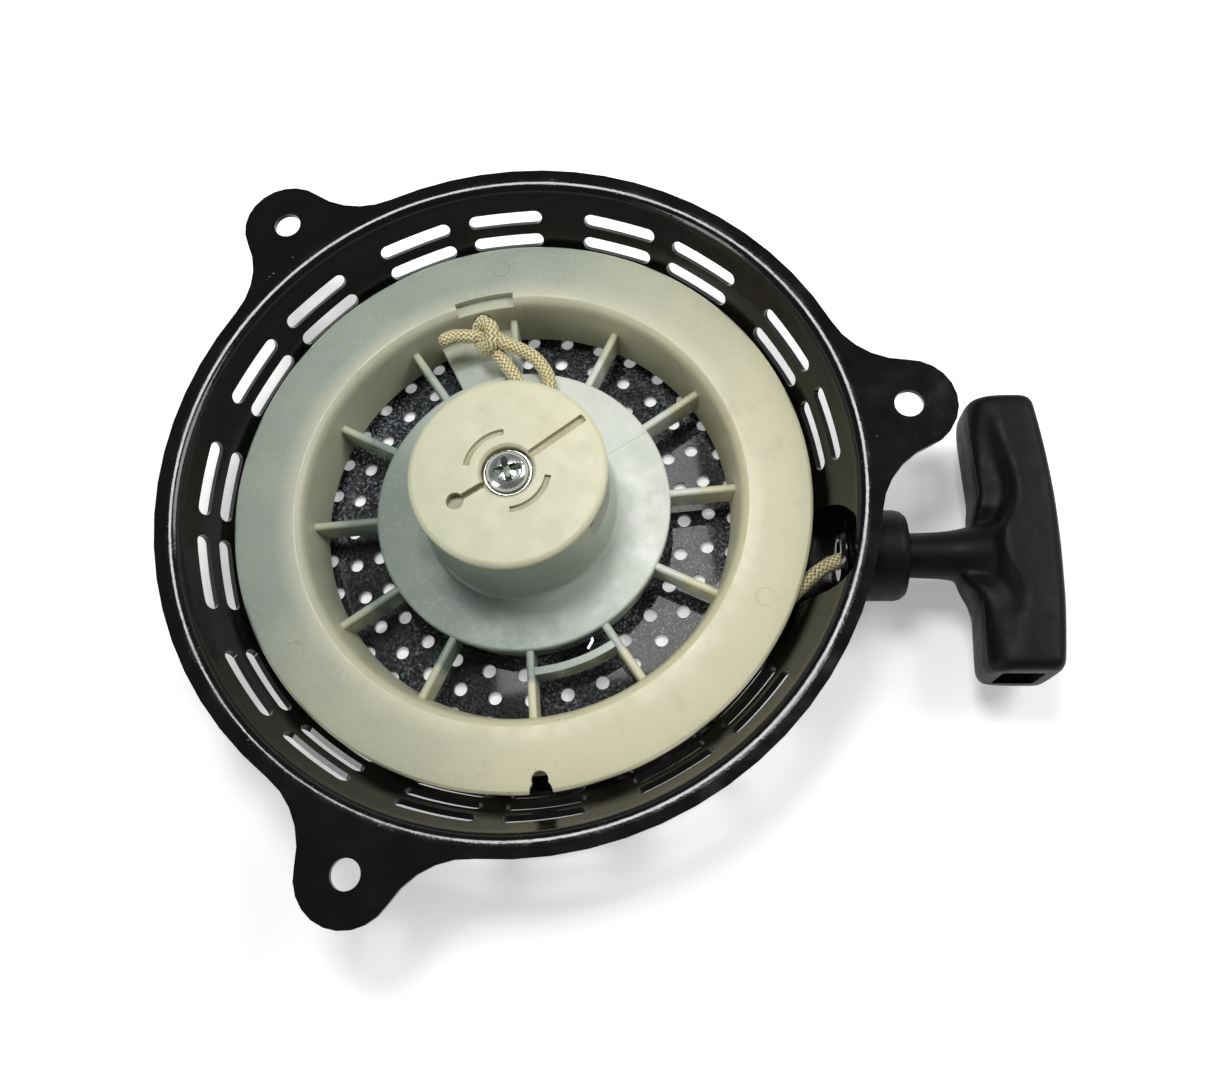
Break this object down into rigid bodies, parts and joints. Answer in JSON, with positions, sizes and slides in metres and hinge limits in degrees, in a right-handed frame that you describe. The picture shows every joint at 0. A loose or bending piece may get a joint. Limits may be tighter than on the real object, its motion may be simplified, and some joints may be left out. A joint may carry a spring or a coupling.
{
  "type": "recoil starter",
  "caption": "Pull-rope recoil starter for a small engine: slotted black steel bowl with mounting ears, pale nylon rope pulley with spokes, ratchet with swinging pawls, and a T-handle.",
  "frame": {"origin": "centre of the dome's flat outer face, on the spindle axis", "axes": "+Z along the spindle towards the open engine side, +X in the direction the rope is pulled"},
  "size_m": [0.2353, 0.2065, 0.0433],
  "materials": {
    "black_steel": "gloss",
    "steel": "plain turned steel",
    "zinc": "bright zinc plate",
    "spring_steel": "blued spring steel",
    "pawl_steel": "tumbled steel",
    "nylon": "satin, slightly translucent",
    "nylon_guide": "satin",
    "rope": "braided cord",
    "black_plastic": "satin"
  },
  "bodies": {
    "housing": {"housing": "black_steel", "spindle": "steel", "centre_screw": "zinc", "screw_washer": "steel", "rope_guide": "black_plastic", "rope_eyelet": "black_steel", "rope_lead": "rope"},
    "pulley": {"pulley_rim": "nylon", "spoke_01": "nylon", "spoke_02": "nylon", "spoke_03": "nylon", "spoke_04": "nylon", "spoke_05": "nylon", "spoke_06": "nylon", "spoke_07": "nylon", "spoke_08": "nylon", "spoke_09": "nylon", "spoke_10": "nylon", "spoke_11": "nylon", "spoke_12": "nylon", "knot_shelf": "nylon", "spring_pocket": "nylon", "pulley_hub": "nylon", "pulley_drum": "nylon", "rope_winding": "rope", "rope_knot": "rope", "recoil_spring": "spring_steel", "spring_cover": "steel", "thrust_washer": "steel"},
    "ratchet_guide": {"ratchet_guide": "nylon_guide", "brake_spring": "spring_steel"},
    "pawl_1": {"pawl_1": "pawl_steel"},
    "pawl_2": {"pawl_2": "pawl_steel"},
    "handle": {"handle_grip": "black_plastic", "handle_washer": "steel", "handle_knot": "rope"}
  },
  "joints": [
    {"name": "pulley_spin", "type": "hinge", "parent": "housing", "child": "pulley", "pos_m": [0, 0, 0], "axis": [0, 0, 1], "range_deg": [0, 655], "stiffness_Nm_per_rad": 0.07, "springref_deg": -171.89},
    {"name": "handle_pull", "type": "slide", "parent": "housing", "child": "handle", "axis": [1, 0, 0], "range_m": [0, 0.8005]},
    {"name": "guide_turn", "type": "hinge", "parent": "pulley", "child": "ratchet_guide", "pos_m": [0, 0, 0.039], "axis": [0, 0, 1], "range_deg": [-30, 0]},
    {"name": "pawl_1_swing", "type": "hinge", "parent": "pulley", "child": "pawl_1", "pos_m": [0.01399, -0.00874, 0.0335], "axis": [0, 0, 1], "range_deg": [-40, 0]},
    {"name": "pawl_2_swing", "type": "hinge", "parent": "pulley", "child": "pawl_2", "pos_m": [-0.01399, 0.00874, 0.0335], "axis": [0, 0, 1], "range_deg": [-40, 0]}
  ],
  "couplings": [
    {"joint": "handle_pull", "follows": "pulley_spin", "m_per_rad": 0.07},
    {"joint": "pawl_1_swing", "follows": "guide_turn", "ratio": 1.3333},
    {"joint": "pawl_2_swing", "follows": "guide_turn", "ratio": 1.3333}
  ]
}
